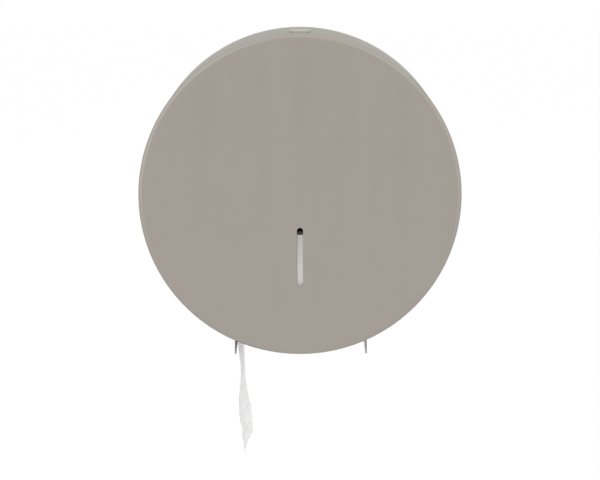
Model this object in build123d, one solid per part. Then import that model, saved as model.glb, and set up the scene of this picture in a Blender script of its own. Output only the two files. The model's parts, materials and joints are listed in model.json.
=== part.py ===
from build123d import *
import math
import os

# A wall-mounted jumbo toilet roll dispenser. A round drum of stainless steel sheet closes over one
# large roll, hinges down at its foot, and locks at its top. The roll hangs on a plastic hub that
# turns on a fixed axle, and its paper comes out between two toothed tear blades.
#
# Frame: +Z is up, the front faces -Y and the wall is the plane Y = 0. The origin lies on the drum's
# axis, in the wall plane. "Forward" is a distance from the wall, towards -Y. Sizes are millimetres.

# ---------------------------------------------------------------- driving sizes
# Fits
cut_past = 1.0  # how far a cut runs past what it cuts
running_gap = 0.05  # radial, between a shaft and its bore, a rivet and its hole
seat_gap = 0.05  # between curved faces that are welded or pressed together
side_gap = 0.3  # between pieces that move past each other

# Roll of paper
roll_radius = 125.0
roll_width = 92.0
roll_rear = 21.5  # forward place of the roll's rear face
roll_edge_chamfer = 0.8
core_bore_radius = 30.0
core_wall = 2.0

# Drum, which is the cover
drum_room = 30.0  # from the radius of a full roll to the drum's outer face
front_room = 5.5  # from the roll's front face to the drum's front wall
drum_sheet = 1.0
drum_edge_radius = 4.5
drum_rear_gap = 0.5  # between the drum's rear edge and the wall
level_slot_width = 6.0
level_slot_length = 56.0
level_slot_drop = 58.0  # the slot's centre, below the drum's axis

# Paper outlet and tear blades
outlet_half_width = 64.3
outlet_turn = 0.3  # degrees round the drum's axis, which sets the outlet a little to the right
outlet_margin = 1.0  # past both faces of the roll
outlet_corner_radius = 2.0
blade_sheet = 1.2
blade_foot_width = 16.0
tear_edge_drop = 1.2  # tooth tips, below the drum's lowest line
tooth_pitch = 4.0
tooth_depth = 1.6

# Hinge at the drum's foot
hinge_rise = 8.0  # the pins, above the drum's lowest line
swing_clearance = 1.3  # between the open cover's teeth and the wall
pin_radius = 2.0
pin_head_radius = 3.2
pin_head_thickness = 1.2
pin_end_radius = 2.8
pin_end_thickness = 1.0
notch_gap = 0.4  # between the drum's notch and the ears
notch_side_drop = 1.0  # below the pins, where the notch's sides end
ear_radius = 3.6
ear_sheet = 1.5
ear_place = 34.0  # from the middle to the wall ear's inner face
bracket_foot_rise = 2.0  # above the back plate's lower edge
bracket_foot_width = 18.0
bracket_foot_height = 22.0
leaf_foot_width = 18.0

# Back plate
plate_sheet = 1.2
plate_gap = 2.0  # between the plate's rim and the inside of the drum
plate_corner_radius = 2.5
rim_depth = 12.0
rim_end_angle = 37.0  # the rim stops this far from straight down
wall_hole_radius = 3.25
wall_hole_pitch = 150.0
axle_pad_radius = 60.0
axle_pad_height = 4.0
small_pad_height = 2.5
pad_margin = 2.5  # round a foot that stands on a pad
pad_corner_radius = 3.0

# Spindle
spindle_plate_radius = 34.0
spindle_plate_sheet = 3.0
spindle_rivet_circle = 25.0
spindle_rivet_count = 4
axle_radius = 6.0
stud_radius = 4.0
stud_end = 1.1  # past the nut
hub_setback = 15.5  # the hub's front end, behind the roll's front face
hub_disc_radius = 39.0
hub_disc_thickness = 2.5
hub_disc_edge = 0.6
hub_barrel_radius = 11.0
fin_radius = 23.7
fin_thickness = 3.0
fin_count = 6
fin_lead_length = 12.0
fin_lead_drop = 6.0
washer_radius = 12.0
washer_thickness = 1.6
spindle_nut_flats = 13.0
spindle_nut_thickness = 6.5

# Rivets
rivet_radius = 2.0
rivet_head_radius = 3.6
rivet_head_height = 1.4
rivet_head_edge = 1.2
rivet_tail_radius = 3.0
rivet_tail_height = 1.0

# Cam lock at the top
lock_forward = 78.0
lock_head_radius = 10.0
lock_head_height = 2.0
lock_head_edge = 0.7
barrel_radius = 9.0
barrel_flats = 15.6
barrel_length = 18.0  # below the drum's top line
plug_radius = 6.4
plug_face_drop = 0.3  # below the head's face
keyway_length = 7.6
keyway_width = 1.4
keyway_depth = 6.0
shim_radius = 13.5
shim_thickness = 2.0  # at the middle, under the drum's wall
lock_nut_flats = 22.0
lock_nut_thickness = 3.5
cam_length = 25.0
cam_width = 12.0
cam_boss_radius = 7.0
cam_sheet = 2.0
drive_square = 7.0
cam_screw_radius = 2.0
cam_screw_length = 8.0
cam_screw_head_radius = 4.5
cam_screw_head_height = 2.4
cam_screw_head_edge = 0.8

# Latch arm that the cam catches
arm_sheet = 1.5
arm_gap = 3.0  # between the lock nut and the arm
arm_roll_clearance = 2.5  # above a full roll, on its way in
arm_height = 19.5  # at the back plate
arm_nose = 4.8  # in front of the slot
arm_nose_radius = 3.0
arm_shelf_width = 10.0
arm_swing_gap = 1.0  # between the nose and the drum as it swings past
arm_foot_width = 20.0
arm_foot_drop = 10.0  # below the arm's lower edge
arm_foot_top_drop = 6.0  # below the arm's upper edge
arm_foot_corner = 2.0
arm_slot_corner = 1.0
catch_play = 1.8  # round the cam, up and down
catch_end_play = 1.2  # at the cam's front side

# Loose end of the paper
tail_thickness = 0.4
tail_blade_gap = 5.1  # between the left blade and the paper, where it leaves the drum
tail_wrap_start = 212.0  # degrees round the roll, from +X
tail_wrap_end = 230.0
tail_bend_radius = 25.0
# Below the bend the paper twists. At each drop below the bend's end, this is how far its front edge,
# its middle and its rear edge have drifted sideways.
tail_drifts = {
    0.0: (0.0, -0.01, 0.0),
    12.0: (-2.2, -1.0, 0.5),
    30.0: (0.4, 0.3, 1.1),
    50.0: (0.4, 0.6, 1.7),
    70.0: (-1.6, -0.1, 2.2),
    90.0: (-0.5, 2.0, 5.3),
    108.0: (2.2, 4.9, 8.5),
    122.0: (5.0, 6.7, 9.3),
}

# ---------------------------------------------------------------- derived places
roll_front = roll_rear + roll_width
roll_z = -(core_bore_radius - fin_radius - side_gap)
drum_radius = roll_radius + drum_room
drum_depth = roll_front + front_room + drum_sheet
drum_inner_radius = drum_radius - drum_sheet

outlet_rear = roll_rear - outlet_margin
outlet_front = roll_front + outlet_margin
tear_edge_z = -(drum_radius + tear_edge_drop)
tail_x = -(outlet_half_width - blade_sheet - tail_blade_gap)

hinge_z = -(drum_radius - hinge_rise)
hinge_forward = hinge_rise + tear_edge_drop + swing_clearance
notch_front = hinge_forward + ear_radius + notch_gap
notch_half_width = math.sqrt(drum_radius**2 - (hinge_z - notch_side_drop) ** 2)

plate_radius = drum_inner_radius - plate_gap
plate_chord_z = hinge_z + hinge_forward - drum_rear_gap
rim_end_z = -plate_radius * math.cos(math.radians(rim_end_angle))
axle_pad_front = axle_pad_height + plate_sheet
small_pad_front = small_pad_height + plate_sheet

spindle_plate_front = axle_pad_front + spindle_plate_sheet
hub_front = roll_front - hub_setback
shoulder_front = hub_front + side_gap
washer_front = shoulder_front + washer_thickness
spindle_nut_front = washer_front + spindle_nut_thickness

lock_y = -lock_forward
lock_face_z = drum_radius + lock_head_height
barrel_bottom_z = drum_radius - barrel_length
shim_bottom_z = drum_inner_radius - shim_thickness
cam_top_z = barrel_bottom_z - side_gap
cam_bottom_z = cam_top_z - cam_sheet

arm_x = lock_nut_flats / 2 + arm_gap
arm_bottom_z = roll_radius + arm_roll_clearance
arm_top_z = arm_bottom_z + arm_height
arm_foot_front = small_pad_front + arm_sheet
slot_front = lock_forward + cam_width / 2 + catch_end_play
arm_reach = slot_front + arm_nose
# As the drum opens, its inside over the arm swings down towards the nose. The least height that it
# leaves there is a leg of the right triangle on its distance from the hinge.
drum_over_arm = math.sqrt(drum_inner_radius**2 - (arm_x + arm_sheet) ** 2) - hinge_z
arm_nose_z = hinge_z + math.sqrt(drum_over_arm**2 - (arm_reach - hinge_forward) ** 2)
arm_nose_z -= arm_swing_gap


# ---------------------------------------------------------------- helpers
def forward(outline, start, end):
    """Extrude a front-view outline (x, z) between two distances forward of the wall."""
    return extrude(Plane.XZ.offset(start) * outline, end - start)


def sideways(outline, start, end):
    """Extrude a side-view outline (y, z) between two values of x."""
    return extrude(Plane.YZ.offset(start) * outline, end - start)


def upward(outline, start, end):
    """Extrude a top-view outline (x, y) between two values of z."""
    return extrude(Plane.XY.offset(start) * outline, end - start)


def span(low, high):
    """A rectangle between two opposite corners."""
    middle = Pos((low[0] + high[0]) / 2, (low[1] + high[1]) / 2)
    return middle * Rectangle(high[0] - low[0], high[1] - low[1])


def rounded_span(low, high, radius):
    """The same with rounded corners."""
    middle = Pos((low[0] + high[0]) / 2, (low[1] + high[1]) / 2)
    return middle * RectangleRounded(high[0] - low[0], high[1] - low[1], radius)


def drum(radius, rear, front, corner):
    """A solid drum on the axis with its front edge rounded."""
    blank = forward(Circle(radius), rear, front)
    return fillet(blank.edges().group_by(Axis.Y)[0], corner)


def pan(radius, rear, front, corner):
    """A solid drum on the axis with its rear edge rounded."""
    blank = forward(Circle(radius), rear, front)
    return fillet(blank.edges().group_by(Axis.Y)[-1], corner)


def mirrored(shape):
    """The same piece on the other side of the middle."""
    return mirror(shape, Plane.YZ)


def with_outlet(shape):
    """Turn what belongs to the outlet round the drum's axis with it."""
    return Rot(0, -outlet_turn, 0) * shape


def rivet(place, seat, tail_seat):
    """A rivet at (x, z): its head's seat and its tail's seat, both forward of the wall."""
    at = Pos(*place)
    head = forward(at * Circle(rivet_head_radius), seat, seat + rivet_head_height)
    head = fillet(head.edges().group_by(Axis.Y)[0], rivet_head_edge)
    shank = forward(at * Circle(rivet_radius), tail_seat, seat)
    tail = forward(at * Circle(rivet_tail_radius), tail_seat - rivet_tail_height, tail_seat)
    return head + shank + tail


def rivet_holes(places, rear, front):
    """What a row of rivets takes out of the sheets that it joins."""
    hole = Circle(rivet_radius + running_gap)
    return Part() + [forward(Pos(*place) * hole, rear, front) for place in places]


def hex_nut(flats, thickness, hole_radius):
    """A nut on the Z axis, standing on Z = 0, with its upper corners turned off."""
    outline = RegularPolygon(flats / 2, 6, major_radius=False) - Circle(hole_radius)
    turned = extrude(Circle(flats / math.sqrt(3)), thickness)
    turned = chamfer(turned.edges().group_by(Axis.Z)[-1], thickness / 5)
    return extrude(outline, thickness) & turned


# ---------------------------------------------------------------- rivet places
latch_rivet_x = arm_x + arm_foot_width / 2 + arm_sheet / 2
latch_foot_z = (arm_bottom_z - arm_foot_drop, arm_top_z - arm_foot_top_drop)
latch_rivets_at = [
    (latch_rivet_x, latch_foot_z[0] + arm_foot_width / 4),
    (latch_rivet_x, latch_foot_z[1] - arm_foot_width / 4),
]
bracket_foot_low = plate_chord_z + bracket_foot_rise
bracket_foot_z = (bracket_foot_low, bracket_foot_low + bracket_foot_height)
bracket_rivet_x = ear_place + ear_sheet / 2 + bracket_foot_width / 2
bracket_rivets_at = [
    (bracket_rivet_x, bracket_foot_z[0] + bracket_foot_height / 4),
    (bracket_rivet_x, bracket_foot_z[1] - bracket_foot_height / 4),
]
spindle_rivet_angles = [
    math.radians(360 * (i + 0.5) / spindle_rivet_count) for i in range(spindle_rivet_count)
]
spindle_rivets_at = [
    (spindle_rivet_circle * math.cos(angle), spindle_rivet_circle * math.sin(angle))
    for angle in spindle_rivet_angles
]


# ---------------------------------------------------------------- wall unit
def back_plate():
    """The pan that is screwed to the wall, with pads pressed forward where pieces are riveted."""
    inner_corner = plate_corner_radius - plate_sheet
    plate = pan(plate_radius, 0, rim_depth, plate_corner_radius)
    plate -= pan(plate_radius - plate_sheet, plate_sheet, rim_depth + cut_past, inner_corner)
    below_rim = span((-drum_radius, -drum_radius), (drum_radius, rim_end_z))
    plate -= forward(below_rim, plate_corner_radius, rim_depth + cut_past)
    latch_pad = rounded_span(
        (arm_x - pad_margin, latch_foot_z[0] - pad_margin),
        (arm_x + arm_foot_width + pad_margin, latch_foot_z[1] + pad_margin),
        pad_corner_radius,
    )
    bracket_pad = rounded_span(
        (ear_place - pad_margin, plate_chord_z - 2 * pad_corner_radius),
        (ear_place + bracket_foot_width + pad_margin, bracket_foot_z[1] + pad_margin),
        pad_corner_radius,
    )
    pads = [
        (Circle(axle_pad_radius), axle_pad_height),
        (latch_pad, small_pad_height),
        (bracket_pad, small_pad_height),
        (mirror(bracket_pad, Plane.YZ), small_pad_height),
    ]
    for outline, height in pads:
        plate += forward(outline, 0, height + plate_sheet)
        plate -= forward(offset(outline, -plate_sheet), -cut_past, height)
    below_chord = span((-drum_radius, -drum_radius), (drum_radius, plate_chord_z))
    plate -= forward(below_chord, -cut_past, rim_depth + cut_past)
    wall_holes = GridLocations(wall_hole_pitch, wall_hole_pitch, 2, 2) * Circle(wall_hole_radius)
    plate -= forward(Sketch() + wall_holes, -cut_past, plate_sheet + cut_past)
    brackets_at = bracket_rivets_at + [(-x, z) for x, z in bracket_rivets_at]
    rivets_at = brackets_at + latch_rivets_at + spindle_rivets_at
    return plate - rivet_holes(rivets_at, -cut_past, axle_pad_front + cut_past)


def spindle_flange():
    """The round plate that carries the axle."""
    outline = Circle(spindle_plate_radius) - Circle(stud_radius + running_gap)
    flange = forward(outline, axle_pad_front, spindle_plate_front)
    holes = rivet_holes(spindle_rivets_at, axle_pad_height, spindle_plate_front + cut_past)
    return flange - holes


def spindle_axle():
    """The fixed axle: a spigot in its flange, the journal, and a stud for washer and nut."""
    axle = forward(Circle(axle_radius), spindle_plate_front, shoulder_front)
    axle += forward(Circle(stud_radius), axle_pad_front, spindle_plate_front)
    axle += forward(Circle(stud_radius), shoulder_front, spindle_nut_front + stud_end)
    return chamfer(axle.edges().group_by(Axis.Y)[0], stud_end / 2)


def spindle_washer():
    ring = Circle(washer_radius) - Circle(stud_radius + running_gap)
    return forward(ring, shoulder_front, washer_front)


def spindle_nut():
    nut = hex_nut(spindle_nut_flats, spindle_nut_thickness, stud_radius + running_gap)
    return Plane.XZ.offset(washer_front) * nut


def spindle_rivets():
    return [rivet(at, spindle_plate_front, axle_pad_height) for at in spindle_rivets_at]


def latch_arm():
    """A folded arm over the roll, with the slot that the cam swings into."""
    side = Polyline(
        (-small_pad_front, arm_bottom_z),
        (-arm_reach, arm_bottom_z),
        (-arm_reach, arm_nose_z),
        (-small_pad_front, arm_top_z),
        close=True,
    )
    side = make_face(side)
    side = fillet(side.vertices().group_by(Axis.X)[0], arm_nose_radius)
    slot_rear = lock_forward - math.sqrt(cam_length**2 - arm_x**2) - catch_play
    slot = rounded_span(
        (-slot_front, cam_bottom_z - catch_play), (-slot_rear, cam_top_z + catch_play), arm_slot_corner
    )
    arm = sideways(side - slot, arm_x, arm_x + arm_sheet)
    shelf = span((arm_x, arm_bottom_z), (arm_x + arm_shelf_width, arm_bottom_z + arm_sheet))
    arm += forward(shelf, arm_foot_front, arm_reach - arm_nose_radius)
    foot = rounded_span(
        (arm_x, latch_foot_z[0]), (arm_x + arm_foot_width, latch_foot_z[1]), arm_foot_corner
    )
    arm += forward(foot, small_pad_front, arm_foot_front)
    return arm - rivet_holes(latch_rivets_at, 0, arm_foot_front + cut_past)


def latch_rivets():
    return [rivet(at, arm_foot_front, small_pad_height) for at in latch_rivets_at]


def hinge_bracket():
    """The right wall bracket: a foot on the back plate and an ear for the pin."""
    ear_front = small_pad_front + ear_sheet
    pin_at = Pos(-hinge_forward, hinge_z)
    root = span((-ear_front, bracket_foot_z[0]), (-small_pad_front, bracket_foot_z[1]))
    ear = make_hull((pin_at * Circle(ear_radius)).edges() + root.edges())
    ear -= pin_at * Circle(pin_radius + running_gap)
    bracket = sideways(ear, ear_place, ear_place + ear_sheet)
    foot = span(
        (ear_place, bracket_foot_z[0]), (ear_place + bracket_foot_width, bracket_foot_z[1])
    )
    bracket += forward(foot, small_pad_front, ear_front)
    return bracket - rivet_holes(bracket_rivets_at, 0, ear_front + cut_past)


def hinge_rivets():
    seat = small_pad_front + ear_sheet
    right = [rivet(at, seat, small_pad_height) for at in bracket_rivets_at]
    return right + [mirrored(one) for one in right]


def hinge_pin():
    """The right pin: its head outside the wall ear, its peened end inside the cover's ear."""
    at = Pos(-hinge_forward, hinge_z)
    outer = ear_place + ear_sheet
    inner = ear_place - ear_sheet - 2 * side_gap
    pin = sideways(at * Circle(pin_head_radius), outer, outer + pin_head_thickness)
    pin += sideways(at * Circle(pin_radius), inner, outer)
    return pin + sideways(at * Circle(pin_end_radius), inner - pin_end_thickness, inner)


# ---------------------------------------------------------------- hub
def spindle_hub():
    """The moulded hub: a barrel on the axle, a disc behind the roll, and fins with a lead-in."""
    disc_front = roll_rear - side_gap
    disc_rear = disc_front - hub_disc_thickness
    hub = forward(Circle(hub_barrel_radius), spindle_plate_front + side_gap, hub_front)
    disc = forward(Circle(hub_disc_radius), disc_rear, disc_front)
    hub += fillet(disc.edges(), hub_disc_edge)
    fin = Polyline(
        (-disc_rear, 0),
        (-disc_rear, fin_radius),
        (fin_lead_length - hub_front, fin_radius),
        (-hub_front, fin_radius - fin_lead_drop),
        (-hub_front, 0),
        close=True,
    )
    fin = sideways(make_face(fin), -fin_thickness / 2, fin_thickness / 2)
    hub += [Rot(0, 360 * i / fin_count, 0) * fin for i in range(fin_count)]
    return hub - forward(Circle(axle_radius + running_gap), 0, hub_front + cut_past)


# ---------------------------------------------------------------- roll
def roll_core():
    ring = Circle(core_bore_radius + core_wall) - Circle(core_bore_radius)
    return forward(Pos(0, roll_z) * ring, roll_rear, roll_front)


def roll_paper():
    """The wound paper, round the core."""
    paper = forward(Pos(0, roll_z) * Circle(roll_radius), roll_rear, roll_front)
    paper = chamfer(paper.edges().filter_by(GeomType.CIRCLE), roll_edge_chamfer)
    bore = Circle(core_bore_radius + core_wall + seat_gap)
    return paper - forward(Pos(0, roll_z) * bore, 0, roll_front + cut_past)


def tail_section(z, drifts):
    """The hanging paper cut level at z, with its drifts at the front edge, middle and rear edge."""
    half = tail_thickness / 2
    forwards = (roll_front, (roll_front + roll_rear) / 2, roll_rear)
    left = [(tail_x + drift - half, -place) for drift, place in zip(drifts, forwards)]
    right = [(tail_x + drift + half, -place) for drift, place in zip(drifts, forwards)]
    edges = [ThreePointArc(*left), Line(left[2], right[2])]
    edges += [ThreePointArc(*right), Line(right[0], left[0])]
    return Plane.XY.offset(z) * make_face(edges)


def paper_tail():
    """The end of the paper: round the roll's lower left, off it, and down between the blades."""
    radius = roll_radius + side_gap + tail_thickness / 2
    leave = math.radians(tail_wrap_end)
    wrap = CenterArc((0, roll_z), radius, tail_wrap_start, tail_wrap_end - tail_wrap_start)
    start = Vector(radius * math.cos(leave), roll_z + radius * math.sin(leave))
    turn = math.radians(360 - 90) - leave
    straight = tail_x - start.X - tail_bend_radius * (1 - math.cos(turn))
    straight = straight / -math.sin(leave)
    bend_start = start + Vector(-math.sin(leave), math.cos(leave)) * straight
    bend = CenterArc(
        (tail_x - tail_bend_radius, bend_start.Y - tail_bend_radius * math.sin(turn)),
        tail_bend_radius,
        0,
        math.degrees(turn),
    )
    upper = trace([wrap, Line(start, bend_start), bend], tail_thickness)
    tail = forward(upper, roll_rear, roll_front)
    hang_z = bend_start.Y - tail_bend_radius * math.sin(turn)
    return tail + loft([tail_section(hang_z - drop, drifts) for drop, drifts in tail_drifts.items()])


# ---------------------------------------------------------------- cover
def cover_shell():
    """The drum: one sheet with a rounded front edge, cut for the outlet, slot, lock and hinge."""
    shell = drum(drum_radius, drum_rear_gap, drum_depth, drum_edge_radius)
    inner_edge = drum_edge_radius - drum_sheet
    shell -= drum(drum_inner_radius, -cut_past, drum_depth - drum_sheet, inner_edge)
    outlet = rounded_span(
        (-outlet_half_width, -outlet_front),
        (outlet_half_width, -outlet_rear),
        outlet_corner_radius,
    )
    shell -= with_outlet(upward(outlet, -drum_radius - cut_past, 0))
    notch = span((-notch_half_width, -notch_front), (notch_half_width, cut_past))
    shell -= upward(notch, -drum_radius - cut_past, 0)
    slot = Pos(0, -level_slot_drop) * Rot(0, 0, 90) * SlotOverall(level_slot_length, level_slot_width)
    shell -= forward(slot, drum_depth - drum_edge_radius, drum_depth + cut_past)
    lock_hole = Pos(0, lock_y) * barrel_outline(running_gap)
    return shell - upward(lock_hole, 0, drum_radius + cut_past)


def tear_blade():
    """The right blade: a foot along the drum's inside and a toothed edge that hangs down."""
    length = (outlet_rear + outlet_corner_radius, outlet_front - outlet_corner_radius)
    outer = drum_inner_radius - seat_gap
    outer_face = outlet_half_width - seat_gap
    inner = outer_face - blade_sheet
    ring = Circle(outer) - Circle(outer - blade_sheet)
    foot = ring & span((inner, -drum_radius), (outer_face + blade_foot_width, 0))
    blade = forward(foot, *length)
    bend_z = -math.sqrt((outer - blade_sheet) ** 2 - outer_face**2)
    blade += forward(span((inner, tear_edge_z), (outer_face, bend_z)), *length)
    tooth_count = int((length[1] - length[0]) / tooth_pitch)
    gullet = Polyline((-tooth_pitch / 2, 0), (0, tooth_depth), (tooth_pitch / 2, 0), close=True)
    gullet = make_face(gullet)
    middle = -(length[0] + length[1]) / 2
    for i in range(tooth_count + 1):
        y = middle + (i - tooth_count / 2) * tooth_pitch
        gullet_at = Pos(y, tear_edge_z) * gullet
        blade -= sideways(gullet_at, inner - cut_past, outer_face + cut_past)
    return blade


def cover_hinge_leaf():
    """The right leaf: a foot along the drum's inside, behind the outlet, and an ear on the pin."""
    outer_face = ear_place - side_gap
    pin_at = Pos(-hinge_forward, hinge_z)
    foot_rear, foot_front = notch_front + side_gap, outlet_rear - side_gap
    below = span((-foot_front, -drum_radius), (-foot_rear, hinge_z - ear_radius))
    ear = make_hull((pin_at * Circle(ear_radius)).edges() + below.edges())
    ear -= pin_at * Circle(pin_radius + running_gap)
    leaf = sideways(ear, outer_face - ear_sheet, outer_face)
    outer = drum_inner_radius - seat_gap
    ring = Circle(outer) - Circle(outer - ear_sheet)
    foot = ring & span((outer_face - leaf_foot_width, -drum_radius), (outer_face, 0))
    leaf += forward(foot, foot_rear, foot_front)
    return leaf & forward(Circle(outer), 0, drum_depth)


# ---------------------------------------------------------------- lock
def barrel_outline(gap):
    """The lock body's round with two flats, which stop it turning in its hole."""
    width = barrel_flats + 2 * gap
    return Circle(barrel_radius + gap) & Rectangle(width, 4 * barrel_radius)


def on_lock(shape):
    """Move a shape from the Z axis onto the lock's axis."""
    return Pos(0, lock_y, 0) * shape


def lock_barrel():
    """The fixed body of the lock: a head on the drum's top and a flatted body below it."""
    head = upward(Circle(lock_head_radius), drum_radius, lock_face_z)
    head = fillet(head.edges().group_by(Axis.Z)[-1], lock_head_edge)
    barrel = head + upward(barrel_outline(0), barrel_bottom_z, drum_radius)
    bore = Circle(plug_radius + running_gap)
    return on_lock(barrel - upward(bore, 0, lock_face_z + cut_past))


def lock_shim():
    """A ring that is curved above to the drum's inside and flat below for the nut."""
    ring = Circle(shim_radius) - barrel_outline(running_gap)
    shim = on_lock(upward(ring, shim_bottom_z, drum_radius))
    return shim & forward(Circle(drum_inner_radius - seat_gap), 0, drum_depth)


def lock_nut():
    nut = hex_nut(lock_nut_flats, lock_nut_thickness, barrel_radius + running_gap)
    return on_lock(Pos(0, 0, shim_bottom_z) * Rot(180, 0, 30) * nut)


def lock_plug():
    """The part that the key turns, with a square end for the cam."""
    plug = upward(Circle(plug_radius), cam_top_z, lock_face_z - plug_face_drop)
    plug += upward(Rectangle(drive_square, drive_square), cam_bottom_z + side_gap, cam_top_z)
    keyway = RectangleRounded(keyway_width, keyway_length, keyway_width / 3)
    plug -= upward(keyway, lock_face_z - plug_face_drop - keyway_depth, lock_face_z)
    hole = Circle(cam_screw_radius + running_gap)
    plug -= upward(hole, cam_bottom_z, cam_bottom_z + cam_screw_length + side_gap)
    return on_lock(plug)


def lock_cam():
    """The cam, which points at the wall when the lock is open."""
    reach = cam_length - cam_width / 2
    outline = Circle(cam_boss_radius) + Pos(0, reach / 2) * Rectangle(cam_width, reach)
    outline += Pos(0, reach) * Circle(cam_width / 2)
    outline -= Rectangle(drive_square + 2 * running_gap, drive_square + 2 * running_gap)
    return on_lock(upward(outline, cam_bottom_z, cam_top_z))


def cam_screw():
    head = upward(Circle(cam_screw_head_radius), cam_bottom_z - cam_screw_head_height, cam_bottom_z)
    head = fillet(head.edges().group_by(Axis.Z)[0], cam_screw_head_edge)
    shank = upward(Circle(cam_screw_radius), cam_bottom_z, cam_bottom_z + cam_screw_length)
    return on_lock(head + shank)


# ---------------------------------------------------------------- all pieces
def all_parts():
    bracket, pin, blade, leaf = hinge_bracket(), hinge_pin(), tear_blade(), cover_hinge_leaf()
    return {
        "back_plate": back_plate(),
        "spindle_flange": spindle_flange(),
        "spindle_axle": spindle_axle(),
        "spindle_washer": spindle_washer(),
        "spindle_nut": spindle_nut(),
        "spindle_rivets": Compound(children=spindle_rivets()),
        "latch_arm": latch_arm(),
        "latch_rivets": Compound(children=latch_rivets()),
        "hinge_bracket_right": bracket,
        "hinge_bracket_left": mirrored(bracket),
        "hinge_rivets": Compound(children=hinge_rivets()),
        "hinge_pin_right": pin,
        "hinge_pin_left": mirrored(pin),
        "paper_tail": paper_tail(),
        "spindle_hub": spindle_hub(),
        "roll_core": roll_core(),
        "roll_paper": roll_paper(),
        "cover_shell": cover_shell(),
        "tear_blade_right": with_outlet(blade),
        "tear_blade_left": with_outlet(mirrored(blade)),
        "cover_hinge_leaf_right": leaf,
        "cover_hinge_leaf_left": mirrored(leaf),
        "lock_barrel": lock_barrel(),
        "lock_shim": lock_shim(),
        "lock_nut": lock_nut(),
        "lock_plug": lock_plug(),
        "lock_cam": lock_cam(),
        "cam_screw": cam_screw(),
    }


def main():
    os.makedirs("parts", exist_ok=True)
    for name, shape in all_parts().items():
        export_step(shape, f"parts/{name}.step")


if __name__ == "__main__":
    main()
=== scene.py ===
# %% [markdown]
# # A steel dispenser for jumbo toilet rolls
#
# The real thing is a round drum of satin stainless sheet that hangs on a washroom wall. The
# drum is a cover: it hinges down at its foot over a back plate, a hub and one large roll of
# paper, and it locks at the top. The end of the paper hangs out between two toothed tear
# blades.
#
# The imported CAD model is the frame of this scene. It is in metres, with +Z up, the front facing
# -Y and the origin on the drum's axis in the wall plane. Everything below either gives a CAD
# node a finish or makes a finer piece that takes a node's place.

import json
import math
import random

import bmesh
import bpy
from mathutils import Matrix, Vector, noise


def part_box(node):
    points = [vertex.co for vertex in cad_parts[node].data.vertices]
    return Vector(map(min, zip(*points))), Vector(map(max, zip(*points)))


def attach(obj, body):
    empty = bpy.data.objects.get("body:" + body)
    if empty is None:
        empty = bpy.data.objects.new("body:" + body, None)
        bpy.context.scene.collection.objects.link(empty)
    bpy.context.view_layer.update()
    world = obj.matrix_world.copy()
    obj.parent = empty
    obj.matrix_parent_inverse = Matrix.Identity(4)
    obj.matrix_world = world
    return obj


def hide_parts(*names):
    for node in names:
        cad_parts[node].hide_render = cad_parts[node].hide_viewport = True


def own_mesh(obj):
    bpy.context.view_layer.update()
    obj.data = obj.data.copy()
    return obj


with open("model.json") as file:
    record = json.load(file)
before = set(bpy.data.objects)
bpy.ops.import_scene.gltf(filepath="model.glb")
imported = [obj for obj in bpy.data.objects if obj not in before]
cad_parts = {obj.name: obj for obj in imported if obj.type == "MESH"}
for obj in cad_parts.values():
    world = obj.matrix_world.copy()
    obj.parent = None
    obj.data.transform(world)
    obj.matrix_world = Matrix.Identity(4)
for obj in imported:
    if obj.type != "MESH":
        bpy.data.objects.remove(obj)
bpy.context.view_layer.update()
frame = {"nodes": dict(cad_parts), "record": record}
nodes = frame["nodes"]

MM = 0.001
QUARTER_TURN = math.pi / 2


def box_of(node):
    """The low and the high corner of a CAD node."""
    return tuple(Vector(corner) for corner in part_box(node))


# %% [markdown]
# ## Camera
#
# The camera stands a little under two metres away, just high enough to see the top of the
# drum's side. Its place follows from the drum's outline: how high the wall end of the side
# stands over the round front, and how much smaller it looks. The aim is the middle of drum and
# hanging paper.

# %% Make the camera
CAMERA_PLACE = Vector((0, -1.9132, 0.2670))
CAMERA_AIM = Vector((0, -0.120, -0.0418))
CAMERA_LENS = 113.7  # in millimetres, on a sensor of the usual width
SENSOR_WIDTH = 36
VIEW_END = 60.0  # metres, past the floor's far corners

camera = bpy.data.objects.new("camera", bpy.data.cameras.new("camera"))
camera.data.sensor_width = SENSOR_WIDTH
camera.data.lens = CAMERA_LENS
camera.data.clip_end = VIEW_END
camera.location = CAMERA_PLACE
camera.rotation_euler = (CAMERA_AIM - CAMERA_PLACE).to_track_quat("-Z", "Y").to_euler()
bpy.context.collection.objects.link(camera)
bpy.context.scene.camera = camera
bpy.context.scene.view_settings.view_transform = "Standard"
print("camera:", round((CAMERA_AIM - CAMERA_PLACE).length, 2), "m from what it looks at")


# %% [markdown]
# ## Helpers for materials
#
# Every finish here is made of nodes, so it is sharp at any distance. A few short helpers keep
# the trees readable: one adds a node with its values, one fills a socket, and the others make
# the sums, ranges, mixes and noises that come again and again. Where a helper takes a value,
# that is a plain number or colour, or another node's output.


# %% Nodes and sums
def add_node(tree, kind, values=None, **settings):
    """Add a shader node, with its sockets' values by name or number and its own settings."""
    node = tree.nodes.new("ShaderNode" + kind)
    for name, setting in settings.items():
        setattr(node, name, setting)
    for socket, value in (values or {}).items():
        node.inputs[socket].default_value = value
    return node


def join(tree, value, node, socket):
    """Join a node's output to a socket, or give the socket a plain value."""
    if isinstance(value, bpy.types.NodeSocket):
        tree.links.new(value, node.inputs[socket])
    else:
        node.inputs[socket].default_value = value


def math_node(tree, operation, first, second):
    """One sum on two values."""
    node = add_node(tree, "Math", operation=operation)
    join(tree, first, node, 0)
    join(tree, second, node, 1)
    return node.outputs[0]


def times(tree, first, second):
    """The product of two values."""
    return math_node(tree, "MULTIPLY", first, second)


# %% Ranges, mixes, noise and bumps
def fit_range(tree, value, source, target=(0.0, 1.0)):
    """Carry a value from one range into another, and stop at its ends."""
    low, high = source
    to_low, to_high = target
    ends = {"From Min": low, "From Max": high, "To Min": to_low, "To Max": to_high}
    fit = add_node(tree, "MapRange", ends)
    join(tree, value, fit, "Value")
    return fit.outputs[0]


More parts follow.
